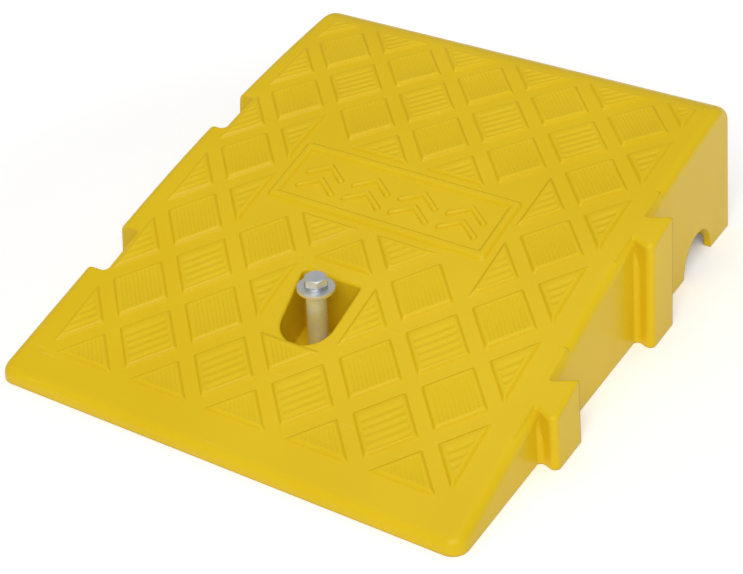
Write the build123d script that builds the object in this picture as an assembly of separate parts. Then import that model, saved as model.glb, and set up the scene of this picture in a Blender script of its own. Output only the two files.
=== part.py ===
from build123d import *
import os
from math import asin, ceil, cos, degrees, floor, hypot, radians, sin, tan

# Ramp outline: X across the ramp, Y up the climb, Z up from the floor, in millimetres and degrees
ramp_width = 250.0
ramp_depth = 300.0
lip_height = 6.5
slope_angle = 16.9
straight_run = 105.0
crest_radius = 945.0
brow_inset = 20.0
brow_radius = 21.0
side_draft = 4.8
back_draft = 3.3
front_corner_round = 8.0
edge_round = 5.5
back_edge_round = 3.0

# Hollow underside
wall_thickness = 4.0
top_thickness = 4.5
low_edge_land = 16.0
rib_pitch = 30.0
rib_thickness = 3.0
least_cell = 10.0

# Tabs on the right wall, and the notches on the left wall that take a neighbour's tabs
interlock_distances = (82.0, 186.0)
tab_reach = 10.0
tab_root_width = 16.5
tab_tip_width = 25.0
tab_low_corner_round = 3.0
tab_edge_break = 1.5
tab_root_round = 2.5
notch_width = 27.5
notch_depth = 14.5
notch_corner_round = 3.0
opening_edge_break = 0.9

# Half-round passage for a pipe or cable, in from the high end
passage_inset = 45.0
passage_radius = 18.0

# Pocket for the anchor, measured from the anchor's axis, with a round low end off to the right
pocket_row = 3
pocket_half_columns = 1
pocket_left_reach = 17.5
pocket_right_reach = 14.6
pocket_high_reach = 16.1
pocket_low_reach = 23.2
pocket_low_radius = 13.5
pocket_low_shift = 1.8
pocket_floor = 5.0
pocket_wall = 3.5
pocket_corner_round = 2.0

# Tread of diamond plates, counted in half pitches from the middle and from the low edge
tread_low_margin = 18.6
tread_high_margin = 21.4
tread_side_margin = 16.8
tread_side_column = 5
tread_last_row = 11
plate_channel = 7.8
plate_height = 1.05
plate_side_slope = 35.0
plate_seat = 0.6

# Raised frame of the bare sign panel
panel_row = 6
panel_half_columns = 3
panel_width = 120.0
panel_length = 39.0
panel_bar = 2.4

# Expansion anchor that stands in the pocket, upwards from the floor
bolt_diameter = 6.0
bolt_end_gap = 0.5
cone_rim_diameter = 9.5
cone_tip_diameter = 7.0
cone_rim_height = 1.5
cone_height = 6.2
cone_gap = 0.2
cone_travel = 2.5
sleeve_diameter = 9.8
sleeve_length = 35.0
seam_width = 1.0
seam_angle = 16.0
slot_angle = 205.0
slot_length = 18.0
washer_diameter = 18.0
washer_thickness = 1.6
spring_washer_diameter = 11.0
spring_washer_thickness = 1.6
spring_washer_split = 1.2
spring_washer_slant = 25.0
head_across_flats = 10.0
head_height = 4.0
head_top_diameter = 9.4
head_top_slope = 30.0
head_turn = 10.0
loose_clearance = 0.3
thread_clearance = 0.05

# Places worked out from the sizes above
slope = radians(slope_angle)
half_width = ramp_width / 2
low_edge = -ramp_depth / 2
high_edge = ramp_depth / 2
crest_start = low_edge + straight_run
crest_start_height = lip_height + straight_run * tan(slope)
crest_centre = crest_start + crest_radius * sin(slope)
crest_centre_height = crest_start_height - crest_radius * cos(slope)
brow_start = high_edge - brow_inset
brow_slope = asin((crest_centre - brow_start) / crest_radius)
brow_centre = brow_start + brow_radius * sin(brow_slope)
brow_centre_height = crest_centre_height + (crest_radius - brow_radius) * cos(brow_slope)
straight_length = straight_run / cos(slope)
crest_length = crest_radius * (slope - asin((crest_centre - high_edge) / crest_radius))
side_lean = tan(radians(side_draft))
back_lean = tan(radians(back_draft))
tread_width = ramp_width - 2 * tread_side_margin
tread_length = straight_length + crest_length - tread_low_margin - tread_high_margin
tread_pitch_across = tread_width / tread_side_column
tread_pitch_along = 2 * tread_length / tread_last_row
interlock_places = [low_edge + distance for distance in interlock_distances]
passage_place = high_edge - passage_inset
anchor_place = low_edge + (tread_low_margin + pocket_row * tread_pitch_along / 2) * cos(slope)
pocket_high_end = anchor_place + pocket_high_reach
pocket_low_end = anchor_place - pocket_low_reach
overshoot = 2.0
pick_slack = 0.05
tab_root_inset = 0.1
tab_root_fade = 65.0
sleeve_foot = cone_height + cone_gap
sleeve_top = sleeve_foot + sleeve_length
washer_top = sleeve_top + washer_thickness
head_foot = washer_top + spring_washer_thickness
loose_bore = bolt_diameter + 2 * loose_clearance


def climb_height(place, drop=0.0):
    """Height of the straight run or the crest at a place, on a line kept a given drop under it."""
    if place <= crest_start + drop * sin(slope):
        return lip_height + (place - low_edge) * tan(slope) - drop / cos(slope)
    radius = crest_radius - drop
    turn = asin((place - crest_centre) / radius)
    return crest_centre_height + radius * cos(turn)


def tread_plane(across, distance):
    """Plane on the climb at a distance from the low edge, measured along the surface."""
    angle = slope
    place = low_edge + distance * cos(slope)
    if distance > straight_length:
        angle = slope - (distance - straight_length) / crest_radius
        place = crest_centre - crest_radius * sin(angle)
    origin = (across, place, climb_height(place))
    return Plane(origin, x_dir=(1, 0, 0), z_dir=(0, -sin(angle), cos(angle)))


def row_distance(row):
    """Distance of a tread row from the low edge along the climb."""
    return tread_low_margin + row * tread_pitch_along / 2


def climb_block(drop, start):
    """Everything under the climb and its brow, kept a given drop below them, from a start place backwards."""
    turn = crest_start + drop * sin(slope)
    radius = brow_radius - drop
    end = brow_centre + radius
    start_corner = (start, climb_height(start, drop))
    turn_point = (turn, climb_height(turn, drop))
    brow_point = (brow_centre - radius * sin(brow_slope), brow_centre_height + radius * cos(brow_slope))
    rise = Polyline((start, 0), start_corner, turn_point)
    crest = TangentArc(turn_point, brow_point, tangent=(cos(slope), sin(slope)))
    brow = TangentArc(brow_point, (end, brow_centre_height), tangent=(cos(brow_slope), sin(brow_slope)))
    close = Polyline((end, brow_centre_height), (end, 0), (start, 0))
    section = Plane.YZ * make_face(rise + crest + brow + close)
    return extrude(section, ramp_width, both=True)


def drafted_block(inset):
    """Block inside the four walls, a given inset in from their outer faces."""
    height = climb_height(high_edge) + overshoot
    side = half_width - inset
    front = low_edge + inset
    back = high_edge - inset
    roof_side = side - height * side_lean
    roof_back = back - height * back_lean
    across = make_face(Polyline((-side, 0), (side, 0), (roof_side, height), (-roof_side, height), close=True))
    along = make_face(Polyline((front, 0), (back, 0), (roof_back, height), (front, height), close=True))
    block = extrude(Plane.XZ * across, ramp_depth, both=True)
    block = block & extrude(Plane.YZ * along, ramp_width, both=True)
    uprights = block.edges().filter_by(lambda edge: abs(edge.tangent_at(0.5).Z) > 0.9)
    return fillet(uprights.sort_by(Axis.Y)[:2], max(front_corner_round - inset, 1.0))


def upper_faces(solid):
    """Faces of a solid that look up."""
    return solid.faces().filter_by(lambda face: face.normal_at().Z > 0.5)


def wedge():
    """Drafted wedge with a rounded rim and tighter edges round its high end, before it is hollowed."""
    sharp = drafted_block(0) & climb_block(0, low_edge - overshoot)
    rim = upper_faces(sharp).edges()
    for seam in (crest_start, brow_start):
        rim = rim.filter_by(lambda edge: abs(edge.center().Y - seam) > pick_slack)
    body = fillet(rim.sort_by(Axis.Y)[:-1], edge_round)
    high_end = body.faces().sort_by(Axis.Y)[-1]
    return fillet(high_end.edges().sort_by(Axis.Z)[1:], back_edge_round)


def tab_outline():
    """Dovetail outline of a tab on the floor, run in past the rounded rim of the wall."""
    inner = half_width - 2 * edge_round
    tip = half_width + tab_reach
    corners = [(inner, tab_root_width / 2), (half_width, tab_root_width / 2), (tip, tab_tip_width / 2)]
    mirrored = [(across, -along) for across, along in reversed(corners)]
    outline = make_face(Polyline(*corners, *mirrored, close=True))
    return fillet(outline.vertices().sort_by(Axis.Y)[0], tab_low_corner_round)


def leaning_post(outline, place):
    """Post with an outline square to its axis, which leans in with the right wall."""
    lean = radians(side_draft)
    foot = Plane((half_width, place, 0), x_dir=(cos(lean), 0, sin(lean)), z_dir=(-sin(lean), 0, cos(lean)))
    return extrude(foot * Pos(-half_width, 0) * outline, climb_height(high_edge), both=True)


def tab(place):
    """Dovetail tab that leans with the right wall and carries the climb outwards."""
    sharp = leaning_post(tab_outline(), place) & climb_block(0, low_edge - overshoot)
    top_rim = upper_faces(sharp).edges().sort_by(Axis.X)[1:]
    return chamfer(top_rim, tab_edge_break)


def root_space(place):
    """Space under a steep plane that meets the right wall where its rounded rim ends."""
    rise = (climb_height(place + tab_tip_width) - climb_height(place - tab_tip_width)) / 2 / tab_tip_width
    along = (0, 1, rise)
    height = climb_height(place) - edge_round
    fade = radians(tab_root_fade)
    square = (tan(fade) * hypot(1, rise), -rise, 1)
    seat = Plane((half_width - height * side_lean, place, height), x_dir=along, z_dir=square)
    size = 8 * tab_tip_width
    return seat * Box(size, size, size, align=(Align.CENTER, Align.CENTER, Align.MAX))


def tab_root(place):
    """Rounded corners between a tab and the wall, fading out under the rounded rim."""
    flare = (tab_tip_width - tab_root_width) / 2 / tab_reach
    backing = half_width - tab_root_inset
    inner = half_width - wall_thickness
    outer = half_width + tab_reach / 2
    corners = [(inner, tab_tip_width), (backing, tab_tip_width)]
    for across in (backing, outer):
        corners.append((across, tab_root_width / 2 + (across - half_width) * flare))
    mirrored = [(across, -along) for across, along in reversed(corners)]
    outline = make_face(Polyline(*corners, *mirrored, close=True))
    on_wall = outline.vertices().filter_by(lambda corner: abs(corner.X - backing) < pick_slack)
    roots = on_wall.filter_by(lambda corner: abs(corner.Y) < tab_tip_width - pick_slack)
    outline = fillet(roots, tab_root_round)
    return leaning_post(outline, place) & climb_block(0, low_edge) & root_space(place)


def notch(place, grow=0.0):
    """Space of a notch in the left wall, or of the wall round it when grown."""
    inner = notch_depth + grow - half_width
    outer = -half_width - tab_reach
    middle = Pos((inner + outer) / 2, place)
    outline = middle * Rectangle(inner - outer, notch_width + 2 * grow)
    outline = fillet(outline.vertices().group_by(Axis.X)[-1], notch_corner_round)
    return extrude(outline, climb_height(high_edge))


def touch_point(corner, centre, radius, side):
    """Point where a line from a corner touches a circle, on one side of it."""
    run = centre - corner
    turn = asin(radius / run.length)
    return corner + run.rotate(Axis.Z, side * degrees(turn)) * cos(turn)


def pocket_outline():
    """Outline of the pocket, from a straight high end down both sides to a round low end."""
    left = Vector(-pocket_left_reach, pocket_high_end)
    right = Vector(pocket_right_reach, pocket_high_end)
    centre = Vector(pocket_low_shift, pocket_low_end + pocket_low_radius)
    left_touch = touch_point(left, centre, pocket_low_radius, -1)
    right_touch = touch_point(right, centre, pocket_low_radius, 1)
    straight = make_face(Polyline(left, left_touch, right_touch, right, close=True))
    straight = fillet(straight.vertices().sort_by(Axis.Y)[-2:], pocket_corner_round)
    return straight + Pos(centre) * Rot(0, 0, 90) * Circle(pocket_low_radius)


def pocket(foot, grow=0.0):
    """Space of the anchor pocket above a foot height, or of the wall round it when grown."""
    outline = pocket_outline()
    if grow > 0:
        outline = offset(outline, grow)
    return extrude(Pos(0, 0, foot) * outline, climb_height(high_edge))


def ribs():
    """Ribs that cross under the top, one pair of them through the middle of the floor."""
    height = climb_height(high_edge)
    standing = (Align.CENTER, Align.CENTER, Align.MIN)
    side_count = floor((half_width - wall_thickness - least_cell) / rib_pitch)
    first_row = ceil((low_edge + low_edge_land + least_cell) / rib_pitch)
    last_row = floor((high_edge - wall_thickness - least_cell) / rib_pitch)
    grid = []
    for column in range(-side_count, side_count + 1):
        grid.append(Pos(column * rib_pitch, 0) * Box(rib_thickness, ramp_depth, height, align=standing))
    for row in range(first_row, last_row + 1):
        grid.append(Pos(0, row * rib_pitch) * Box(ramp_width, rib_thickness, height, align=standing))
    return grid


def hollow_cells():
    """Hollow under the top, divided by the ribs and the walls of the pocket and notches."""
    hollow = drafted_block(wall_thickness) & climb_block(top_thickness, low_edge + low_edge_land)
    kept = ribs() + [pocket(0, pocket_wall)]
    for place in interlock_places:
        kept.append(notch(place, wall_thickness))
    return hollow - kept


def passage():
    """Half-round passage across the ramp, through both side walls and the ribs."""
    return Pos(0, passage_place, 0) * Rot(0, 90, 0) * Cylinder(passage_radius, 2 * ramp_width)


def anchor_hole():
    """Hole in the pocket's floor that the anchor passes through."""
    hole = Cylinder(sleeve_diameter / 2 + loose_clearance, 4 * pocket_floor)
    return Pos(0, anchor_place, 0) * hole


def lost_sides(column, row):
    """Sides of a plate that are cut off by the tread's border, the panel or the pocket."""
    lost = set()
    if column == tread_side_column:
        lost.add("right")
    if column == -tread_side_column:
        lost.add("left")
    if row == 0:
        lost.add("low")
    if row == tread_last_row:
        lost.add("high")
    for clear_row, half_columns in ((panel_row, panel_half_columns), (pocket_row, pocket_half_columns)):
        beside = abs(column) == half_columns and abs(row - clear_row) <= 1
        inside = abs(column) < half_columns
        if beside:
            lost.add("left" if column > 0 else "right")
        if inside and row - clear_row == 1:
            lost.add("low")
        if inside and row - clear_row == -1:
            lost.add("high")
        if inside and row == clear_row:
            lost.update(("left", "right", "low", "high"))
    return lost


def plate_outline(lost):
    """Diamond of a plate at its seat, less the sides that it has lost."""
    across = tread_pitch_across / 2
    along = tread_pitch_along / 2
    lattice_reach = across * along / hypot(across, along)
    seat_growth = plate_seat * tan(radians(plate_side_slope))
    share = 1 - (plate_channel / 2 - seat_growth) / lattice_reach
    corners = {
        "right": (across * share, 0),
        "high": (0, along * share),
        "left": (-across * share, 0),
        "low": (0, -along * share),
    }
    points = [point for side, point in corners.items() if side not in lost]
    if len(points) == 2:
        points.append((0, 0))
    return make_face(Polyline(*points, close=True))


def tread_plates():
    """Raised plates of the tread, each on its own plane of the climb."""
    plates = []
    for row in range(tread_last_row + 1):
        for column in range(-tread_side_column, tread_side_column + 1):
            lost = lost_sides(column, row)
            if (row + column) % 2 == 1 or len(lost) == 4:
                continue
            seat = tread_plane(column * tread_pitch_across / 2, row_distance(row)) * Pos(0, 0, -plate_seat)
            height = plate_height + plate_seat
            plates.append(extrude(seat * plate_outline(lost), height, taper=plate_side_slope))
    return plates


def panel_frame():
    """Raised frame round the bare panel."""
    seat = tread_plane(0, row_distance(panel_row)) * Pos(0, 0, -plate_seat)
    window = Rectangle(panel_width - 2 * panel_bar, panel_length - 2 * panel_bar)
    outline = Rectangle(panel_width, panel_length) - window
    return extrude(seat * outline, plate_height + plate_seat)


def pocket_rim(body):
    """Edges where the pocket opens through the climb."""
    rim = []
    for edge in body.edges():
        middle = edge.center()
        over_pocket = abs(middle.X) < pocket_left_reach and pocket_low_end - 1 < middle.Y < pocket_high_end + 1
        if over_pocket and middle.Z > pocket_floor + 1 and abs(edge.tangent_at(0.5).Z) < 0.5:
            rim.append(edge)
    return rim


def notch_rim(body, place):
    """Edges where a notch opens through the climb and the left wall."""
    rim = []
    inner = notch_depth - half_width + pick_slack
    reach = notch_width / 2 + pick_slack
    steepest = cos(radians(side_draft / 2))
    for edge in body.edges():
        middle = edge.center()
        inside = middle.X < inner and abs(middle.Y - place) < reach
        if inside and middle.Z > pick_slack and abs(edge.tangent_at(0.5).Z) < steepest:
            rim.append(edge)
    return rim


def ramp_body():
    """One moulding: wedge, interlocks, hollow underside, pocket and tread."""
    tabs = [tab(place) for place in interlock_places]
    roots = [tab_root(place) for place in interlock_places]
    body = wedge() + tabs + roots
    body = body - pocket(pocket_floor)
    body = chamfer(pocket_rim(body), opening_edge_break)
    for place in interlock_places:
        body = body - notch(place)
        body = chamfer(notch_rim(body, place), opening_edge_break)
    cuts = [hollow_cells(), passage(), anchor_hole()]
    body = body - cuts
    return body + tread_plates() + panel_frame()


def post(diameter, foot, top):
    """Upright cylinder between two heights."""
    standing = (Align.CENTER, Align.CENTER, Align.MIN)
    return Pos(0, 0, foot) * Cylinder(diameter / 2, top - foot, align=standing)


def tapered_post(foot_diameter, top_diameter, foot, top):
    """Upright cone between two heights."""
    standing = (Align.CENTER, Align.CENTER, Align.MIN)
    return Pos(0, 0, foot) * Cone(foot_diameter / 2, top_diameter / 2, top - foot, align=standing)


def side_slit(width, angle, foot, top):
    """Upright slit from the axis outwards at an angle round it."""
    reach = washer_diameter
    slit = Pos(0, 0, foot) * Box(reach, width, top - foot, align=(Align.MIN, Align.CENTER, Align.MIN))
    return Rot(0, 0, angle) * slit


def cone_nut():
    """Tapered nut at the foot of the anchor."""
    body = post(cone_rim_diameter, 0, cone_rim_height)
    body = body + tapered_post(cone_rim_diameter, cone_tip_diameter, cone_rim_height, cone_height)
    return body - post(bolt_diameter + 2 * thread_clearance, -overshoot, sleeve_foot)


def expansion_sleeve():
    """Rolled sleeve with its seam, an expansion slot and a mouth that lets the cone climb."""
    taper = (cone_rim_diameter - cone_tip_diameter) / (cone_height - cone_rim_height)
    mouth = cone_tip_diameter + (cone_travel - cone_gap) * taper + 2 * loose_clearance
    mouth_length = (mouth - loose_bore) / taper
    tube = post(sleeve_diameter, sleeve_foot, sleeve_top)
    tube = tube - post(loose_bore, 0, sleeve_top + overshoot)
    tube = tube - tapered_post(mouth, loose_bore, sleeve_foot, sleeve_foot + mouth_length)
    tube = tube - side_slit(seam_width, seam_angle, 0, sleeve_top + overshoot)
    return tube - side_slit(seam_width, slot_angle, 0, sleeve_foot + slot_length)


def flat_washer():
    """Plain washer on top of the sleeve."""
    ring = post(washer_diameter, sleeve_top, washer_top)
    return ring - post(loose_bore, sleeve_top - overshoot, washer_top + overshoot)


def spring_washer():
    """Split spring washer under the head."""
    ring = post(spring_washer_diameter, washer_top, head_foot)
    ring = ring - post(loose_bore, washer_top - overshoot, head_foot + overshoot)
    middle = (washer_top + head_foot) / 2
    cutter = Box(spring_washer_diameter, spring_washer_split, 4 * spring_washer_thickness)
    reach = spring_washer_diameter / 2
    return ring - Rot(0, 0, seam_angle) * Pos(reach, 0, middle) * Rot(spring_washer_slant, 0, 0) * cutter


def hex_bolt():
    """Hexagon head with its rounded crown line, and the shank down to the cone nut."""
    hexagon = RegularPolygon(head_across_flats / 2, 6, major_radius=False, rotation=head_turn)
    head = extrude(Pos(0, 0, head_foot) * hexagon, head_height)
    head_top = head_foot + head_height
    widening = 2 * head_height / tan(radians(head_top_slope))
    head = head & tapered_post(head_top_diameter + widening, head_top_diameter, head_foot, head_top)
    return head + post(bolt_diameter, bolt_end_gap, head_foot)


os.makedirs("parts", exist_ok=True)
anchor = Pos(0, anchor_place, 0)
pieces = {
    "ramp_body": ramp_body(),
    "hex_bolt": anchor * hex_bolt(),
    "spring_washer": anchor * spring_washer(),
    "flat_washer": anchor * flat_washer(),
    "expansion_sleeve": anchor * expansion_sleeve(),
    "cone_nut": anchor * cone_nut(),
}
for name, piece in pieces.items():
    export_step(piece, f"parts/{name}.step")
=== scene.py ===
import math
from collections import namedtuple

import bmesh
import bpy
from mathutils import Matrix, Vector


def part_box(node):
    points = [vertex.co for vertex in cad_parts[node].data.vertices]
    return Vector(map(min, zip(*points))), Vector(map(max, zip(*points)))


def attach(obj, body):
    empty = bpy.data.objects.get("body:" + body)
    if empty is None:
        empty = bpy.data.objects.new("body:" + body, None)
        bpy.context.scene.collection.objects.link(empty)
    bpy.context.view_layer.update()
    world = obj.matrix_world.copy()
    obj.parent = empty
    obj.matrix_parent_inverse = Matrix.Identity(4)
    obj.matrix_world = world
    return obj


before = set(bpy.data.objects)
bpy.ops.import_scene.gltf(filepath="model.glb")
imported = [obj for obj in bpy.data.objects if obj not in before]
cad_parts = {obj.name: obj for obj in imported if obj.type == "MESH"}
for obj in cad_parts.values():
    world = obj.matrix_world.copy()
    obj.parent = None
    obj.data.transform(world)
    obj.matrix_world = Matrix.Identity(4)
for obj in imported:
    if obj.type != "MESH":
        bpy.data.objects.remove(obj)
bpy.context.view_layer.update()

bl_info = {
    "name": "Threshold Ramp Finish",
    "version": (1, 0, 0),
    "blender": (4, 5, 0),
    "location": "View3D > Sidebar > Ramp",
    "description": "Dresses a moulded threshold ramp and its sleeve anchor, and sets the stage round them",
    "category": "Object",
}

RAMP_LOW, RAMP_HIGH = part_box("ramp_body")
BOLT_LOW, BOLT_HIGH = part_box("hex_bolt")
BOLT_AXIS = ((BOLT_LOW.x + BOLT_HIGH.x) / 2, (BOLT_LOW.y + BOLT_HIGH.y) / 2, 0.0)
IMAGE_WIDTH = 743
SENSOR_WIDTH = 36.0
MILLIMETRE = 0.001
WELD_REACH = 0.002 * MILLIMETRE
SHARPEST_CORNER = 0.05 * MILLIMETRE

# Distance in metres within which a point counts as on a line, and cosine past which directions are parallel
ON_LINE = 1e-7
PARALLEL = 0.99

# Directions in which a plate of the tread can be cut off
CUT_SIDES = {"right": (1, 0), "high": (0, 1), "left": (-1, 0), "low": (0, -1)}

# Points across a plate's flank, a groove's run-out and a groove's slope, as shares of their widths
FLANK_STEPS = (-0.34, -0.20, -0.07, 0.07, 0.20, 0.34, 0.5)
RUN_OUT_STEPS = (0.0, 0.33, 0.67, 1.0)
COARSE_STEPS = (-0.5, -0.17, 0.17, 0.5)
FINE_STEPS = (-0.5, 0.0, 0.5)

# Facets of the panel's raised details
CORNER_FACETS = 8
BAR_FACETS = 20
STROKE_FACETS = 14
END_FACETS = 6

# Tool lines on the anchor's pieces per metre, away from the bolt's axis and along it
TURNED_LINES = (3200.0, 500.0)
STAMPED_LINES = (1800.0, 900.0)
ROLLED_LINES = (900.0, 160.0)

# Brightness of the floor's pale spots against the rest of it
PALE_SPOTS = 1.02

Grooves = namedtuple("Grooves", "centres width slope depth steps")


def length(name, description, default):
    """Property for a length in metres."""
    return bpy.props.FloatProperty(
        name=name, description=description, default=default, precision=5, subtype="DISTANCE", unit="LENGTH"
    )


def angle(name, description, degrees):
    """Property for an angle, given in degrees."""
    return bpy.props.FloatProperty(
        name=name, description=description, default=math.radians(degrees), subtype="ANGLE", unit="ROTATION"
    )


def count(name, description, default):
    """Property for a whole number."""
    return bpy.props.IntProperty(name=name, description=description, default=default, min=0)


def share(name, description, default):
    """Property for a share or a strength."""
    return bpy.props.FloatProperty(name=name, description=description, default=default, subtype="FACTOR")


def colour(name, description, default):
    """Property for a colour."""
    return bpy.props.FloatVectorProperty(
        name=name, description=description, default=default, size=3, min=0.0, max=1.0, subtype="COLOR"
    )


def place(name, description, default):
    """Property for a point in metres."""
    return bpy.props.FloatVectorProperty(
        name=name,
        description=description,
        default=default,
        size=3,
        precision=5,
        subtype="TRANSLATION",
        unit="LENGTH",
    )


def power(name, description, default):
    """Property for the power of a light in watts."""
    return bpy.props.FloatProperty(name=name, description=description, default=default, unit="POWER")


class RampClimb(bpy.types.PropertyGroup):
    """Line of the climb, a straight run that turns into a wide crest."""

    width: length("Width", "Width of the ramp at the floor, without its tabs", -2 * RAMP_LOW.x)
    low_edge: length("Low edge", "Place of the low edge along the ramp", RAMP_LOW.y)
    high_edge: length("High edge", "Place of the high end along the ramp", RAMP_HIGH.y)
    lip_height: length("Lip height", "Height of the climb at its low edge", 0.0065)
    slope: angle("Slope", "Slope of the straight run", 16.9)
    straight_run: length("Straight run", "Level length of the straight run", 0.105)
    crest_radius: length("Crest radius", "Radius of the crest above the straight run", 0.945)


class RampTread(bpy.types.PropertyGroup):
    """Diamond plates of the tread and the ridges on them."""

    low_margin: length("Low margin", "Bare strip at the low edge, along the climb", 0.0186)
    high_margin: length("High margin", "Bare strip at the high end, along the climb", 0.0214)
    side_margin: length("Side margin", "Bare strip along each side", 0.0168)
    side_column: count("Side column", "Half pitches from the middle to the last column", 5)
    last_row: count("Last row", "Half pitches from the first row to the last", 11)
    panel_row: count("Panel row", "Row that the panel lies on", 6)
    panel_columns: count("Panel columns", "Half pitches from the middle that the panel clears", 3)
    pocket_row: count("Pocket row", "Row that the anchor pocket lies on", 3)
    pocket_columns: count("Pocket columns", "Half pitches from the middle that the pocket clears", 1)
    channel: length("Channel", "Width of the channels between plates", 0.0078)
    cut_inset: length("Cut inset", "How far a cut side stands back from the middle of its plate", 0.00042)
    rim_inset: length("Rim inset", "Cut inset of the plate below the pocket, to clear its rim", 0.0010)
    height: length("Plate height", "Height of a plate's border above the climb", 0.0015)
    seat: length("Seat", "Depth that a plate goes into the climb", 0.0005)
    flank: length("Flank", "Width of the rounded flank of a plate", 0.0026)
    corner_softness: length("Corner softness", "How far the corners of a plate are rubbed round", 0.0004)
    border: length("Border", "Plain border past the ends of the grooves", 0.0021)
    groove_slope: share("Groove slope", "Width of a groove's slopes as a share of its width", 0.42)
    groove_fade: length("Groove fade", "Length over which a groove runs out at its ends", 0.0006)
    coarse_grooves: count("Coarse grooves", "Grooves on the plates of odd rows", 5)
    coarse_pitch: length("Coarse pitch", "Distance from groove to groove on odd rows", 0.00405)
    coarse_width: length("Coarse width", "Width of a groove of odd rows at half its depth", 0.0020)
    coarse_depth: length("Coarse depth", "Depth of the grooves of odd rows", 0.00030)
    coarse_shift: length("Coarse shift", "How far coarse grooves lie to the plate's lower right", 0.00202)
    fine_grooves: count("Fine grooves", "Grooves on the plates of even rows", 10)
    fine_pitch: length("Fine pitch", "Distance from groove to groove on even rows", 0.00203)
    fine_width: length("Fine width", "Width of a groove of even rows at half its depth", 0.0010)
    fine_depth: length("Fine depth", "Depth of the grooves of even rows", 0.00026)


class RampPanel(bpy.types.PropertyGroup):
    """Raised frame of the sign panel and the climb marks inside it."""

    width: length("Width", "Width of the frame", 0.1222)
    length: length("Length", "Length of the frame along the climb", 0.0412)
    bar: length("Bar", "Width of the frame's bar", 0.0046)
    bar_flank: length("Bar flank", "Width of the rounded flank of the bar", 0.0028)
    bar_corner: length("Bar corner", "Corner radius of the middle line of the bar", 0.0001)
    height: length("Height", "Height of the bar and the marks above the climb", 0.0015)
    seat: length("Seat", "Depth that the bar and the marks go into the climb", 0.0004)
    marks: count("Marks", "Number of marks in a row", 4)
    mark_pitch: length("Mark pitch", "Distance from mark to mark", 0.0268)
    mark_width: length("Mark width", "Width of a mark", 0.0190)
    mark_rise: length("Mark rise", "Rise of a mark from its feet to its point", 0.0075)
    mark_step: length("Mark step", "Distance between the two strokes of a mark", 0.0100)
    stroke: length("Stroke", "Width of a stroke", 0.0030)
    stroke_flank: length("Stroke flank", "Width of the rounded flank of a stroke", 0.0016)


class RampFinish(bpy.types.PropertyGroup):
    """Colours and gloss of the plastic and the zinc."""

    yellow: colour("Yellow", "Colour of the plastic", (0.71, 0.480, 0.0085))
    pale_yellow: colour("Pale yellow", "Plastic where the melt has clouded", (0.74, 0.508, 0.0110))
    scuff: colour("Scuff", "Plastic where it is rubbed", (0.80, 0.60, 0.10))
    scuff_strength: share("Scuff strength", "How much the scuffs show", 0.35)
    speck: colour("Speck", "Specks of dirt", (0.10, 0.065, 0.02))
    speck_strength: share("Speck strength", "How much the specks show", 0.75)
    plastic_roughness: share("Plastic roughness", "Roughness of the satin plastic", 0.32)
    plastic_gloss: share("Plastic gloss", "Strength of the plastic's reflections", 0.14)
    edge_softness: length("Edge softness", "How far the moulding's edges look rounded", 0.0016)
    ridge_softness: length("Ridge softness", "How far the edges of raised details look rounded", 0.0001)
    grain_depth: length("Grain depth", "Depth of the mould grain", 0.00006)
    plastic_crease: angle("Plastic crease", "Angle past which the moulding's edges are crisp", 26)
    zinc: colour("Zinc", "Colour of the plating", (0.83, 0.83, 0.78))
    zinc_dull: colour("Dull zinc", "Plating where it has dulled", (0.66, 0.68, 0.69))
    zinc_tint: colour("Zinc tint", "Faint yellow of the passivated plating", (0.86, 0.84, 0.74))
    # Partly the sleeve's own yellow passivated plating, partly painted reflection: made yellower and lighter
    # to stand for the yellow pocket walls it reflects
    sleeve_zinc_and_reflection: colour("Sleeve zinc", "Stronger yellow of the sleeve's plating", (0.93, 0.88, 0.38))
    # Painted shade: the spring washer's plating is made darker to stand for the shadow under the bolt's hex
    # head
    shaded_spring_zinc: colour("Spring zinc", "Darker plating of the spring washer", (0.36, 0.39, 0.44))
    zinc_roughness: share("Zinc roughness", "Roughness of the plating", 0.34)
    zinc_softness: length("Zinc softness", "How far the edges of plated pieces look rounded", 0.0002)
    line_depth: length("Line depth", "Depth of the tool lines under the plating", 0.00002)
    zinc_crease: angle("Zinc crease", "Angle past which the edges of plated pieces are crisp", 24)


class RampStage(bpy.types.PropertyGroup):
    """Floor, lights and camera."""

    floor: colour("Floor", "Colour of the floor", (0.94, 0.94, 0.94))
    floor_size: length("Floor size", "Side of the floor", 8.0)
    floor_level: length("Floor level", "Height of the floor, just under the ramp's foot", -0.0002)
    surroundings: colour("Surroundings", "Colour of the light from all round", (1.0, 1.0, 1.0))
    surround_strength: share("Surround strength", "Strength of the light from all round", 0.30)
    floor_glow: share("Floor glow", "Light that the floor gives of itself far from the ramp", 0.48)
    near_glow: share("Near glow", "Share of the floor's own light that is left beside the ramp", 0.30)
    glow_start: length("Glow start", "Distance from the ramp's middle where the glow begins to grow", 0.22)
    glow_end: length("Glow end", "Distance from the ramp's middle where the glow is full", 0.50)
    aim: place("Aim", "Point that the softboxes look at", (0.0, 0.0, 0.03))
    key_power: power("Key power", "Power of the front softbox in watts", 104.0)
    key_size: length("Key size", "Side of the front softbox", 2.6)
    key_place: place("Key place", "Place of the front softbox", (1.25, -2.42, 2.95))
    top_power: power("Top power", "Power of the overhead softbox in watts", 6.4)
    top_size: length("Top size", "Side of the overhead softbox", 1.4)
    top_place: place("Top place", "Place of the overhead softbox", (-0.10, 0.25, 1.60))
    camera_place: place("Camera place", "Place of the camera", (0.3680555, -0.6045909, 0.4896422))
    camera_tilt: angle("Camera tilt", "Tilt of the camera up from straight down", 55.6370)
    camera_roll: angle("Camera roll", "Roll of the camera", 1.0988)
    camera_turn: angle("Camera turn", "Turn of the camera about the upright", 31.1426)
    focal_pixels: bpy.props.FloatProperty(
        name="Focal length",
        description="Focal length of the view in pixels of the image",
        default=1703.2714,
    )


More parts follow.
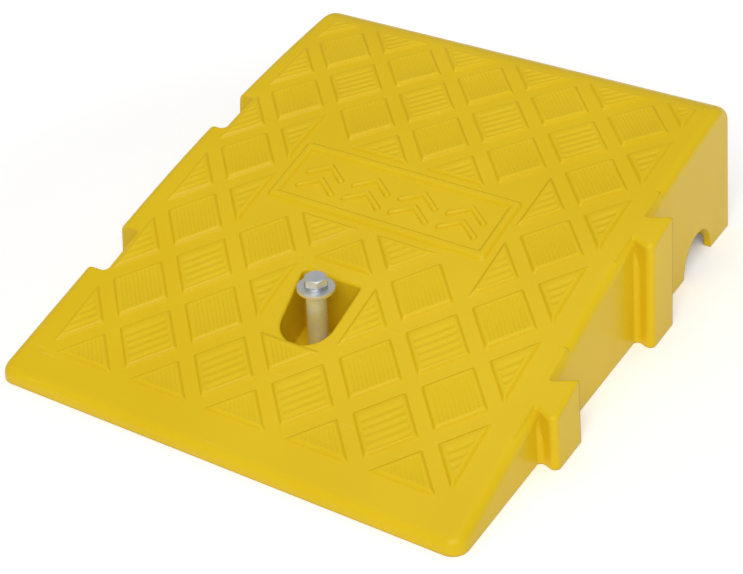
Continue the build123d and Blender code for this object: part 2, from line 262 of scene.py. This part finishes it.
class Shade:
    """Socket in a material's nodes; sums, differences and products of shades add their Math nodes."""

    def __init__(self, tree, socket=None):
        self.tree = tree
        self.socket = socket

    def node(self, kind, sockets=None, out=0, **settings):
        """Adds a node with its settings, then the values or links of its sockets."""
        added = self.tree.nodes.new(kind)
        for name, value in settings.items():
            setattr(added, name, value)
        for name, value in (sockets or {}).items():
            if isinstance(value, Shade):
                self.tree.links.new(value.socket, added.inputs[name])
            else:
                added.inputs[name].default_value = value
        return Shade(self.tree, added.outputs[out] if added.outputs else None)

    def maths(self, operation, *values):
        """Math node of these values."""
        return self.node("ShaderNodeMath", dict(enumerate(values)), operation=operation)

    def __add__(self, other):
        return self.maths("ADD", self, other)

    def __radd__(self, other):
        return self.maths("ADD", other, self)

    def __sub__(self, other):
        return self.maths("SUBTRACT", self, other)

    def __rsub__(self, other):
        return self.maths("SUBTRACT", other, self)

    def __mul__(self, other):
        return self.maths("MULTIPLY", self, other)

    def __rmul__(self, other):
        return self.maths("MULTIPLY", other, self)

    def step(self, low, high):
        """Smooth step from 0 at a low value to 1 at a high one."""
        ends = {"Value": self, "From Min": low, "From Max": high}
        return self.node("ShaderNodeMapRange", ends, interpolation_type="SMOOTHSTEP")

    def between(self, low, high):
        """Colour between two others, by this value."""
        return self.node("ShaderNodeMix", {0: self, 6: solid(low), 7: solid(high)}, out=2, data_type="RGBA")

    def stretched(self, factors):
        """Vector with its three parts multiplied by factors."""
        return self.node("ShaderNodeVectorMath", {0: self, 1: factors}, operation="MULTIPLY")

    def noise(self, vector, scale, detail=2.0, roughness=0.5):
        """Noise over a vector, 0 to 1."""
        sockets = {"Vector": vector, "Scale": scale, "Detail": detail, "Roughness": roughness}
        return self.node("ShaderNodeTexNoise", sockets)


def solid(value):
    """Colour with its alpha, or a shade as it is."""
    if isinstance(value, Shade):
        return value
    return (*value, 1.0)


def start_material(name):
    """Empty material, and a shade to add its nodes with."""
    material = bpy.data.materials.new(name)
    material.use_nodes = True
    material.node_tree.nodes.clear()
    return material, Shade(material.node_tree)


def close_material(shade, sockets):
    """Surface of a material, with the values or links of its sockets."""
    surface = shade.node("ShaderNodeBsdfPrincipled", sockets)
    shade.node("ShaderNodeOutputMaterial", {"Surface": surface})


def plastic_scuffs(shade, spot):
    """Mask of light scuffs, thin rubs across the ramp that lie in fields."""
    rubs_per_metre = (60.0, 900.0, 220.0)
    rubs = shade.noise(spot.stretched(rubs_per_metre), scale=1.0, detail=3.0, roughness=0.6)
    rub_fields = shade.noise(spot, scale=22.0, detail=2.0, roughness=0.5)
    return rubs.step(0.60, 0.72) * rub_fields.step(0.52, 0.70)


def plastic_specks(shade, spot):
    """Mask of a few specks, in about a tenth of the cells that they are drawn from."""
    cells = {"Vector": spot, "Scale": 52.0, "Randomness": 1.0}
    distance = shade.node("ShaderNodeTexVoronoi", cells, out="Distance")
    pick = shade.node("ShaderNodeTexVoronoi", cells, out="Color")
    lot = shade.node("ShaderNodeSeparateColor", {"Color": pick}, out="Red")
    return (1.0 - distance.step(0.012, 0.024)) * lot.step(0.90, 0.91)


def yellow_plastic(name, finish, edge_softness):
    """Satin plastic with clouds of the melt, a fine mould grain, light scuffs and a few specks."""
    material, shade = start_material(name)
    spot = shade.node("ShaderNodeTexCoord", out="Object")
    clouds = shade.noise(spot, scale=14.0, detail=3.0, roughness=0.55)
    grain = shade.noise(spot, scale=1500.0, detail=2.0, roughness=0.6)
    peel = shade.noise(spot, scale=260.0, detail=2.0, roughness=0.5)
    scuffs = plastic_scuffs(shade, spot)
    specks = plastic_specks(shade, spot)
    plain = clouds.step(0.30, 0.75).between(tuple(finish.yellow), tuple(finish.pale_yellow))
    rubbed = (scuffs * finish.scuff_strength).between(plain, tuple(finish.scuff))
    dirty = (specks * finish.speck_strength).between(rubbed, tuple(finish.speck))
    roughness = finish.plastic_roughness + 0.10 * (grain - 0.5) + 0.08 * (clouds - 0.5) - 0.08 * scuffs
    relief = 0.55 * grain + 0.45 * peel
    soft_edge = shade.node("ShaderNodeBevel", {"Radius": edge_softness}, samples=6)
    bump_sockets = {"Strength": 0.22, "Distance": finish.grain_depth, "Height": relief, "Normal": soft_edge}
    bump = shade.node("ShaderNodeBump", bump_sockets)
    close_material(shade, {
        "Base Color": dirty,
        "Roughness": roughness,
        "IOR": 1.5,
        "Specular IOR Level": finish.plastic_gloss,
        "Normal": bump,
    })
    return material


def tool_lines(shade, centred, lines):
    """Noise drawn out round the bolt's axis into the lines that a tool leaves."""
    away, along = lines
    level = centred.stretched((1.0, 1.0, 0.0))
    radius = shade.node("ShaderNodeVectorMath", {0: level}, out="Value", operation="LENGTH")
    height = shade.node("ShaderNodeSeparateXYZ", {"Vector": centred}, out="Z")
    turned = shade.node("ShaderNodeCombineXYZ", {"X": radius * away, "Y": height * along})
    return shade.noise(turned, scale=1.0, detail=2.0, roughness=0.6)


def zinc_plate(name, finish, zinc, lines, roughness, metal):
    """Zinc plating with a faint tint, dull stains and fine pits, over the lines of a tool."""
    material, shade = start_material(name)
    spot = shade.node("ShaderNodeTexCoord", out="Object")
    centred = shade.node("ShaderNodeVectorMath", {0: spot, 1: BOLT_AXIS}, operation="SUBTRACT")
    scores = tool_lines(shade, centred, lines)
    stains = shade.noise(centred, scale=320.0, detail=4.0, roughness=0.6).step(0.50, 0.78)
    tint = shade.noise(centred, scale=150.0, detail=2.0, roughness=0.5).step(0.45, 0.75)
    pits = shade.noise(centred, scale=2400.0, detail=2.0, roughness=0.5)
    bright = (tint * 0.6).between(tuple(zinc), tuple(finish.zinc_tint))
    dulled = (stains * 0.6).between(bright, tuple(finish.zinc_dull))
    worn = roughness + 0.16 * (scores - 0.5) + 0.14 * stains + 0.06 * (pits - 0.5)
    relief = 0.7 * scores + 0.3 * pits
    soft_edge = shade.node("ShaderNodeBevel", {"Radius": finish.zinc_softness}, samples=4)
    bump_sockets = {"Strength": 0.25, "Distance": finish.line_depth, "Height": relief, "Normal": soft_edge}
    bump = shade.node("ShaderNodeBump", bump_sockets)
    close_material(shade, {
        "Base Color": dulled,
        "Metallic": metal,
        "Roughness": worn,
        "Normal": bump,
    })
    return material


def glowing_pale_floor(stage):
    """Matt pale floor with a faint mottle, lit from within like a light table except beside the ramp."""
    material, shade = start_material("glowing_pale_floor")
    spot = shade.node("ShaderNodeTexCoord", out="Object")
    mottle = shade.noise(spot, scale=6.0, detail=3.0, roughness=0.5)
    lighter = tuple(min(1.0, part * PALE_SPOTS) for part in stage.floor)
    mottled = mottle.between(tuple(stage.floor), lighter)
    distance = shade.node("ShaderNodeVectorMath", {0: spot}, out="Value", operation="LENGTH")
    # Painted shade round the ramp: the floor's own glow is dimmed beside it
    near = tuple(part * stage.near_glow for part in stage.floor)
    glow = distance.step(stage.glow_start, stage.glow_end).between(near, tuple(stage.floor))
    close_material(shade, {
        "Base Color": mottled,
        "Roughness": 0.9,
        "Specular IOR Level": 0.1,
        "Emission Color": glow,
        "Emission Strength": stage.floor_glow,
    })
    return material


def paint(piece, material):
    """Gives a piece one material all over."""
    piece.data.materials.clear()
    piece.data.materials.append(material)


def smooth_solid(piece, split_angle):
    """Smooth shading on a solid's own mesh, kept crisp where faces meet at more than an angle."""
    for polygon in piece.data.polygons:
        polygon.use_smooth = True
    if "custom_normal" in piece.data.attributes:
        piece.data.attributes.remove(piece.data.attributes["custom_normal"])
    weld = piece.modifiers.new("join_facets", "WELD")
    weld.merge_threshold = WELD_REACH
    split = piece.modifiers.new("crisp_edges", "EDGE_SPLIT")
    split.split_angle = split_angle
    weighted = piece.modifiers.new("flat_faces", "WEIGHTED_NORMAL")
    weighted.mode = "FACE_AREA"


def make_piece(name, sheet, material, body):
    """Adds a piece made from a bmesh, which rides on a body and has one material all over."""
    mesh = bpy.data.meshes.new(name)
    sheet.to_mesh(mesh)
    sheet.free()
    for polygon in mesh.polygons:
        polygon.use_smooth = True
    piece = bpy.data.objects.new(name, mesh)
    bpy.context.scene.collection.objects.link(piece)
    paint(piece, material)
    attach(piece, body)


def smooth_step(value):
    """Smooth step from 0 to 1."""
    value = min(max(value, 0.0), 1.0)
    return value * value * (3.0 - 2.0 * value)


def straight_length(climb):
    """Length of the straight run along the climb."""
    return climb.straight_run / math.cos(climb.slope)


def crest_centre(climb):
    """Place of the crest's centre along the ramp."""
    return climb.low_edge + climb.straight_run + climb.crest_radius * math.sin(climb.slope)


def crest_length(climb):
    """Length of the crest along the climb, up to the high end."""
    end_slope = math.asin((crest_centre(climb) - climb.high_edge) / climb.crest_radius)
    return climb.crest_radius * (climb.slope - end_slope)


def climb_matrix(climb, across, distance):
    """Seat on the climb at a distance from the low edge along it, with Z square to the surface."""
    slope = climb.slope
    along = climb.low_edge + distance * math.cos(slope)
    height = climb.lip_height + distance * math.sin(slope)
    beyond = distance - straight_length(climb)
    if beyond > 0:
        crest_foot = climb.lip_height + climb.straight_run * math.tan(climb.slope)
        slope = climb.slope - beyond / climb.crest_radius
        along = crest_centre(climb) - climb.crest_radius * math.sin(slope)
        height = crest_foot + climb.crest_radius * (math.cos(slope) - math.cos(climb.slope))
    return Matrix.Translation((across, along, height)) @ Matrix.Rotation(slope, 4, "X")


def half_pitches(climb, tread):
    """Half pitches of the tread across the ramp and along the climb."""
    width = climb.width - 2 * tread.side_margin
    run = straight_length(climb) + crest_length(climb) - tread.low_margin - tread.high_margin
    return width / tread.side_column / 2, run / tread.last_row


def row_distance(climb, tread, row):
    """Distance of a tread row from the low edge along the climb."""
    return tread.low_margin + row * half_pitches(climb, tread)[1]


def lost_sides(tread, column, row):
    """Sides of a plate that are cut off by the tread's border, the panel or the pocket."""
    lost = set()
    if abs(column) == tread.side_column:
        lost.add("right" if column > 0 else "left")
    if row == 0:
        lost.add("low")
    if row == tread.last_row:
        lost.add("high")
    clear_fields = (
        (tread.panel_row, tread.panel_columns),
        (tread.pocket_row, tread.pocket_columns),
    )
    for clear_row, clear_columns in clear_fields:
        if abs(column) == clear_columns and abs(row - clear_row) <= 1:
            lost.add("left" if column > 0 else "right")
        if abs(column) < clear_columns and abs(row - clear_row) <= 1:
            if row <= clear_row:
                lost.add("high")
            if row >= clear_row:
                lost.add("low")
            if row == clear_row:
                lost.update(("left", "right"))
    return frozenset(lost)


def plate_sides(climb, tread, lost, inset):
    """Sides of a plate, each as a direction square to it and its reach from the plate's middle."""
    across, along = half_pitches(climb, tread)
    diagonal = math.hypot(across, along)
    reach = across * along / diagonal - tread.channel / 2
    slants = {
        ("right", "high"): (along, across),
        ("left", "high"): (-along, across),
        ("left", "low"): (-along, -across),
        ("right", "low"): (along, -across),
    }
    sides = []
    for ends, square in slants.items():
        if not lost.intersection(ends):
            sides.append((Vector(square) / diagonal, reach))
    for end in sorted(lost):
        sides.append((Vector(CUT_SIDES[end]), -inset))
    return sides


def outline_corners(sides, margin):
    """Corners of the shape between sides, all moved out by a margin, in order round it."""
    ordered = sorted(sides, key=lambda side: math.atan2(side[0].y, side[0].x))
    corners = []
    for first, second in zip(ordered, ordered[1:] + ordered[:1]):
        turn = first[0].x * second[0].y - first[0].y * second[0].x
        first_reach = first[1] + margin
        second_reach = second[1] + margin
        corner_x = (first_reach * second[0].y - second_reach * first[0].y) / turn
        corner_y = (first[0].x * second_reach - second[0].x * first_reach) / turn
        corners.append((corner_x, corner_y))
    return corners


def soft_distance(sides, point, softness):
    """Distance inside the nearest side, rubbed round where sides meet."""
    depths = [reach - square.dot(point) for square, reach in sides]
    nearest = min(depths)
    total = sum(math.exp((nearest - depth) / softness) for depth in depths)
    return nearest - softness * math.log(total)


def flank_height(depth, flank, height, seat):
    """Height of a rounded flank at a depth inside its side."""
    return (height + seat) * smooth_step(depth / flank + 0.5) - seat


def groove_centres(number, pitch, shift):
    """Places of a plate's grooves across their run."""
    return [shift + (groove - (number - 1) / 2) * pitch for groove in range(number)]


def plate_grooves(tread, coarse):
    """Places and section of a plate's grooves, coarse on odd rows and fine on even ones."""
    if coarse:
        centres = groove_centres(tread.coarse_grooves, tread.coarse_pitch, tread.coarse_shift)
        slope = tread.coarse_width * tread.groove_slope
        return Grooves(centres, tread.coarse_width, slope, tread.coarse_depth, COARSE_STEPS)
    centres = groove_centres(tread.fine_grooves, tread.fine_pitch, 0.0)
    slope = tread.fine_width * tread.groove_slope
    return Grooves(centres, tread.fine_width, slope, tread.fine_depth, FINE_STEPS)


def groove_lines(grooves):
    """Lines along the grooves at which their slopes get their points."""
    lines = []
    for centre in grooves.centres:
        for side in (-1, 1):
            for step in grooves.steps:
                lines.append(centre + side * (grooves.width / 2 + step * grooves.slope))
    return lines


def groove_depth(grooves, offset):
    """Depth of the grooves at an offset across their run."""
    gap = min(abs(offset - centre) for centre in grooves.centres)
    return grooves.depth * smooth_step((grooves.width / 2 - gap) / grooves.slope + 0.5)


def score(sheet, square, reach):
    """Cuts a flat sheet along a line square to a direction at a reach."""
    everything = sheet.verts[:] + sheet.edges[:] + sheet.faces[:]
    direction = Vector((square.x, square.y, 0.0))
    middle = direction * reach
    bmesh.ops.bisect_plane(sheet, geom=everything, dist=ON_LINE, plane_co=middle, plane_no=direction)


def copy_into(whole, part, matrix):
    """Adds a copy of a part to a whole, set by a matrix."""
    moved = {vertex.index: whole.verts.new(matrix @ vertex.co) for vertex in part.verts}
    for face in part.faces:
        whole.faces.new([moved[vertex.index] for vertex in face.verts])


def close_underneath(sheet, foot):
    """Brings the rim of a sheet down to its foot and closes it there."""
    rim = [edge for edge in sheet.edges if edge.is_boundary]
    for edge in rim:
        for vertex in edge.verts:
            vertex.co.z = foot
    bmesh.ops.contextual_create(sheet, geom=rim)
    bmesh.ops.recalc_face_normals(sheet, faces=sheet.faces[:])


def flat_plate(tread, sides, ends, grooves, across_grooves):
    """Flat sheet of a plate, scored along its flanks and along the run-outs and slopes of its grooves."""
    sheet = bmesh.new()
    rim = [sheet.verts.new((x, y, 0.0)) for x, y in outline_corners(sides, tread.flank / 2)]
    sheet.faces.new(rim)
    for square, reach in sides:
        for step in FLANK_STEPS:
            score(sheet, square, reach - step * tread.flank)
    for square, reach in ends:
        for step in RUN_OUT_STEPS:
            score(sheet, square, reach - tread.border - step * tread.groove_fade)
    for offset in groove_lines(grooves):
        score(sheet, across_grooves, offset)
    return sheet


def plate_sheet(climb, tread, lost, coarse, inset):
    """One ridged plate on its seat, closed underneath."""
    sides = plate_sides(climb, tread, lost, inset)
    across, along = half_pitches(climb, tread)
    across_grooves = Vector((along, -across if coarse else across)).normalized()
    grooves = plate_grooves(tread, coarse)
    ends = [side for side in sides if abs(side[0].dot(across_grooves)) < PARALLEL]
    sheet = flat_plate(tread, sides, ends, grooves, across_grooves)
    for vertex in sheet.verts:
        point = Vector((vertex.co.x, vertex.co.y))
        depth = soft_distance(sides, point, tread.corner_softness)
        end_depth = soft_distance(ends, point, tread.corner_softness)
        height = flank_height(depth, tread.flank, tread.height, tread.seat)
        run_out = smooth_step((end_depth - tread.border) / tread.groove_fade)
        vertex.co.z = height - run_out * groove_depth(grooves, across_grooves.dot(point))
    close_underneath(sheet, -tread.seat)
    return sheet


def plate_fields(tread):
    """Columns and rows that hold a plate, each with the sides that are cut off it."""
    fields = []
    for row in range(tread.last_row + 1):
        for column in range(-tread.side_column, tread.side_column + 1):
            lost = lost_sides(tread, column, row)
            if (row + column) % 2 == 0 and len(lost) < len(CUT_SIDES):
                fields.append((column, row, lost))
    return fields


def tread_sheet(climb, tread):
    """All plates of the tread on the climb."""
    across = half_pitches(climb, tread)[0]
    whole = bmesh.new()
    plates = {}
    for column, row, lost in plate_fields(tread):
        below_pocket = column == 0 and row == tread.pocket_row - 1
        kind = (lost, row % 2 == 1, tread.rim_inset if below_pocket else tread.cut_inset)
        if kind not in plates:
            plates[kind] = plate_sheet(climb, tread, *kind)
            plates[kind].verts.index_update()
        seat = climb_matrix(climb, column * across, row_distance(climb, tread, row))
        copy_into(whole, plates[kind], seat)
    for plate in plates.values():
        plate.free()
    return whole


def rounded_ring(half_width, half_length, corner, height):
    """Ring of points round a rectangle with rounded corners."""
    points = []
    for quarter in range(4):
        side_x = 1 if quarter in (0, 3) else -1
        side_y = 1 if quarter in (0, 1) else -1
        for step in range(CORNER_FACETS + 1):
            turn = math.pi / 2 * (quarter + step / CORNER_FACETS)
            x = side_x * (half_width - corner) + corner * math.cos(turn)
            y = side_y * (half_length - corner) + corner * math.sin(turn)
            points.append((x, y, height))
    return points


def frame_sheet(panel):
    """Rounded bar of the panel's frame, closed underneath."""
    sheet = bmesh.new()
    reach = panel.bar / 2 + panel.bar_flank / 2
    rings = []
    for step in range(BAR_FACETS + 1):
        offset = reach * (2 * step / BAR_FACETS - 1)
        depth = panel.bar / 2 - abs(offset)
        height = flank_height(depth, panel.bar_flank, panel.height, panel.seat)
        half_width = panel.width / 2 - panel.bar / 2 + offset
        half_length = panel.length / 2 - panel.bar / 2 + offset
        corner = max(panel.bar_corner + offset, SHARPEST_CORNER)
        ring = rounded_ring(half_width, half_length, corner, height)
        rings.append([sheet.verts.new(point) for point in ring])
    for first, second in zip(rings, rings[1:] + rings[:1]):
        for start in range(len(first)):
            end = (start + 1) % len(first)
            sheet.faces.new((first[start], first[end], second[end], second[start]))
    bmesh.ops.recalc_face_normals(sheet, faces=sheet.faces[:])
    return sheet


def segment_distance(point, first, second):
    """Distance of a point from a straight piece of line."""
    run = second - first
    along = min(max((point - first).dot(run) / run.length_squared, 0.0), 1.0)
    return (point - first - run * along).length


def stroke_end(point, outward, square, half):
    """Stations of a stroke's round end, from its tip to its full width."""
    stations = []
    for step in range(END_FACETS + 1):
        turn = math.pi / 2 * step / END_FACETS
        stations.append((point + outward * half * math.cos(turn), square * half * math.sin(turn)))
    return stations


def stroke_stations(line, half):
    """Places along a bent line with the reach to one side of each, from one round end to the other."""
    runs = [(second - first).normalized() for first, second in zip(line, line[1:])]
    squares = [Vector((-run.y, run.x)) for run in runs]
    stations = stroke_end(line[0], -runs[0], squares[0], half)
    for point, before, after in zip(line[1:], squares, squares[1:]):
        square = (before + after).normalized()
        stations.append((point, square * half / square.dot(before)))
    stations.extend(reversed(stroke_end(line[-1], runs[-1], squares[-1], half)))
    return stations


def flat_stroke(line, half):
    """Flat sheet of a stroke, with rows of points across it and a tip at each end."""
    sheet = bmesh.new()
    stations = stroke_stations(line, half)
    rows = []
    for middle, square in stations[1:-1]:
        spots = [middle + square * (2 * step / STROKE_FACETS - 1) for step in range(STROKE_FACETS + 1)]
        rows.append([sheet.verts.new((spot.x, spot.y, 0.0)) for spot in spots])
    for first, second in zip(rows, rows[1:]):
        for start in range(STROKE_FACETS):
            sheet.faces.new((first[start], first[start + 1], second[start + 1], second[start]))
    for middle, row in ((stations[0][0], rows[0]), (stations[-1][0], rows[-1])):
        tip = sheet.verts.new((middle.x, middle.y, 0.0))
        for start in range(STROKE_FACETS):
            sheet.faces.new((tip, row[start], row[start + 1]))
    return sheet


def stroke_sheet(points, panel):
    """Rounded stroke along a bent line, closed underneath."""
    line = [Vector(point) for point in points]
    sheet = flat_stroke(line, panel.stroke / 2 + panel.stroke_flank / 2)
    for vertex in sheet.verts:
        spot = Vector((vertex.co.x, vertex.co.y))
        gap = min(segment_distance(spot, first, second) for first, second in zip(line, line[1:]))
        vertex.co.z = flank_height(panel.stroke / 2 - gap, panel.stroke_flank, panel.height, panel.seat)
    close_underneath(sheet, -panel.seat)
    return sheet


def marks_sheet(panel):
    """Row of double chevrons that point up the climb."""
    whole = bmesh.new()
    for mark in range(panel.marks):
        middle = (mark - (panel.marks - 1) / 2) * panel.mark_pitch
        for stroke in (-0.5, 0.5):
            foot = stroke * panel.mark_step - panel.mark_rise / 2
            line = [
                (middle - panel.mark_width / 2, foot),
                (middle, foot + panel.mark_rise),
                (middle + panel.mark_width / 2, foot),
            ]
            part = stroke_sheet(line, panel)
            part.verts.index_update()
            copy_into(whole, part, Matrix.Identity(4))
            part.free()
    return whole


def add_floor(stage):
    """Plain pale floor under the ramp, glowing with painted light that is dimmed to a painted shade beside
    it.
    """
    half = stage.floor_size / 2
    level = stage.floor_level
    mesh = bpy.data.meshes.new("floor")
    corners = [(-half, -half, level), (half, -half, level), (half, half, level), (-half, half, level)]
    mesh.from_pydata(corners, [], [(0, 1, 2, 3)])
    floor = bpy.data.objects.new("floor", mesh)
    bpy.context.scene.collection.objects.link(floor)
    paint(floor, glowing_pale_floor(stage))


def add_surroundings(scene, stage):
    """White light from all round, and plain colours in the picture."""
    world = bpy.data.worlds.new("surroundings")
    world.use_nodes = True
    background = world.node_tree.nodes["Background"]
    background.inputs["Color"].default_value = (*stage.surroundings, 1.0)
    background.inputs["Strength"].default_value = stage.surround_strength
    scene.world = world
    scene.view_settings.view_transform = "Standard"


def add_softbox(name, spot, target, size, watts):
    """Square soft light aimed at a target."""
    lamp = bpy.data.lights.new(name, "AREA")
    lamp.shape = "SQUARE"
    lamp.size = size
    lamp.energy = watts
    softbox = bpy.data.objects.new(name, lamp)
    softbox.location = spot
    softbox.rotation_euler = (target - Vector(spot)).to_track_quat("-Z", "Y").to_euler()
    bpy.context.scene.collection.objects.link(softbox)


def add_camera(scene, stage):
    """Camera at the height and angle of the photograph."""
    lens = bpy.data.cameras.new("camera")
    lens.sensor_width = SENSOR_WIDTH
    lens.lens = stage.focal_pixels * SENSOR_WIDTH / IMAGE_WIDTH
    camera = bpy.data.objects.new("camera", lens)
    camera.location = stage.camera_place
    camera.rotation_euler = (stage.camera_tilt, stage.camera_roll, stage.camera_turn)
    scene.collection.objects.link(camera)
    scene.camera = camera


class RAMP_OT_dress_body(bpy.types.Operator):
    """Make the yellow plastics, then smooth the moulding and dress it in the satin one"""

    bl_idname = "ramp.dress_body"
    bl_label = "Dress Body"

    def execute(self, context):
        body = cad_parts["ramp_body"]
        finish = context.scene.ramp_finish
        yellow_plastic("ridged_yellow", finish, finish.ridge_softness)
        paint(body, yellow_plastic("satin_yellow", finish, finish.edge_softness))
        smooth_solid(body, finish.plastic_crease)
        return {"FINISHED"}


class RAMP_OT_add_tread(bpy.types.Operator):
    """Lay the ridged diamond plates on the climb"""

    bl_idname = "ramp.add_tread"
    bl_label = "Add Tread"

    def execute(self, context):
        scene = context.scene
        sheet = tread_sheet(scene.ramp_climb, scene.ramp_tread)
        make_piece("tread_plates", sheet, bpy.data.materials["ridged_yellow"], "ramp")
        return {"FINISHED"}


class RAMP_OT_add_panel(bpy.types.Operator):
    """Round the panel's frame and set the climb marks inside it"""

    bl_idname = "ramp.add_panel"
    bl_label = "Add Panel"

    def execute(self, context):
        scene = context.scene
        tread = scene.ramp_tread
        panel = scene.ramp_panel
        distance = row_distance(scene.ramp_climb, tread, tread.panel_row)
        seat = climb_matrix(scene.ramp_climb, 0.0, distance)
        plastic = bpy.data.materials["ridged_yellow"]
        for name, sheet in (("panel_bar", frame_sheet(panel)), ("panel_marks", marks_sheet(panel))):
            bmesh.ops.transform(sheet, matrix=seat, verts=sheet.verts[:])
            make_piece(name, sheet, plastic, "ramp")
        return {"FINISHED"}


class RAMP_OT_dress_anchor(bpy.types.Operator):
    """Give the sleeve anchor its bright zinc plating"""

    bl_idname = "ramp.dress_anchor"
    bl_label = "Dress Anchor"

    def execute(self, context):
        finish = context.scene.ramp_finish
        rough = finish.zinc_roughness
        turned = zinc_plate("turned_zinc", finish, finish.zinc_dull, TURNED_LINES, rough, metal=0.7)
        stamped = zinc_plate("stamped_zinc", finish, finish.zinc, STAMPED_LINES, rough + 0.08, metal=1.0)
        # The spring washer's darker plating is painted shade under the hex head
        sprung_shaded = zinc_plate("shaded_spring_zinc", finish, finish.shaded_spring_zinc, STAMPED_LINES, rough + 0.1, metal=1.0)
        # The sleeve and cone nut colour is partly plating, partly painted reflection of the yellow pocket
        # walls
        rolled = zinc_plate("rolled_zinc_and_reflection", finish, finish.sleeve_zinc_and_reflection, ROLLED_LINES, rough + 0.12, metal=0.5)
        coats = {
            "hex_bolt": turned,
            "spring_washer": sprung_shaded,
            "flat_washer": stamped,
            "expansion_sleeve": rolled,
            "cone_nut": rolled,
        }
        for name, coat in coats.items():
            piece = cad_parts[name]
            paint(piece, coat)
            smooth_solid(piece, finish.zinc_crease)
        return {"FINISHED"}


class RAMP_OT_build_stage(bpy.types.Operator):
    """Set the floor, the soft lights and the camera"""

    bl_idname = "ramp.build_stage"
    bl_label = "Build Stage"

    def execute(self, context):
        stage = context.scene.ramp_stage
        add_floor(stage)
        add_surroundings(context.scene, stage)
        target = Vector(stage.aim)
        add_softbox("front_softbox", stage.key_place, target, stage.key_size, stage.key_power)
        add_softbox("top_softbox", stage.top_place, target, stage.top_size, stage.top_power)
        add_camera(context.scene, stage)
        return {"FINISHED"}


class RAMP_PT_sidebar(bpy.types.Panel):
    """Sizes, finishes and steps of the ramp"""

    bl_label = "Threshold Ramp"
    bl_idname = "RAMP_PT_sidebar"
    bl_space_type = "VIEW_3D"
    bl_region_type = "UI"
    bl_category = "Ramp"

    def draw(self, context):
        for step in STEPS:
            self.layout.operator(step.bl_idname)
        for name in GROUPS:
            group = getattr(context.scene, name)
            box = self.layout.box()
            for setting in group.__annotations__:
                box.prop(group, setting)


GROUPS = {
    "ramp_climb": RampClimb,
    "ramp_tread": RampTread,
    "ramp_panel": RampPanel,
    "ramp_finish": RampFinish,
    "ramp_stage": RampStage,
}
STEPS = (
    RAMP_OT_dress_body,
    RAMP_OT_add_tread,
    RAMP_OT_add_panel,
    RAMP_OT_dress_anchor,
    RAMP_OT_build_stage,
)


def register():
    """Adds the settings, the steps and the sidebar."""
    for name, group in GROUPS.items():
        bpy.utils.register_class(group)
        setattr(bpy.types.Scene, name, bpy.props.PointerProperty(type=group))
    for step in STEPS:
        bpy.utils.register_class(step)
    bpy.utils.register_class(RAMP_PT_sidebar)


def unregister():
    """Takes them away again."""
    bpy.utils.unregister_class(RAMP_PT_sidebar)
    for step in reversed(STEPS):
        bpy.utils.unregister_class(step)
    for name, group in reversed(GROUPS.items()):
        delattr(bpy.types.Scene, name)
        bpy.utils.unregister_class(group)


def main():
    """Dresses the ramp and sets the stage."""
    register()
    bpy.ops.ramp.dress_body()
    bpy.ops.ramp.add_tread()
    bpy.ops.ramp.add_panel()
    bpy.ops.ramp.dress_anchor()
    bpy.ops.ramp.build_stage()


if __name__ == "__main__":
    main()
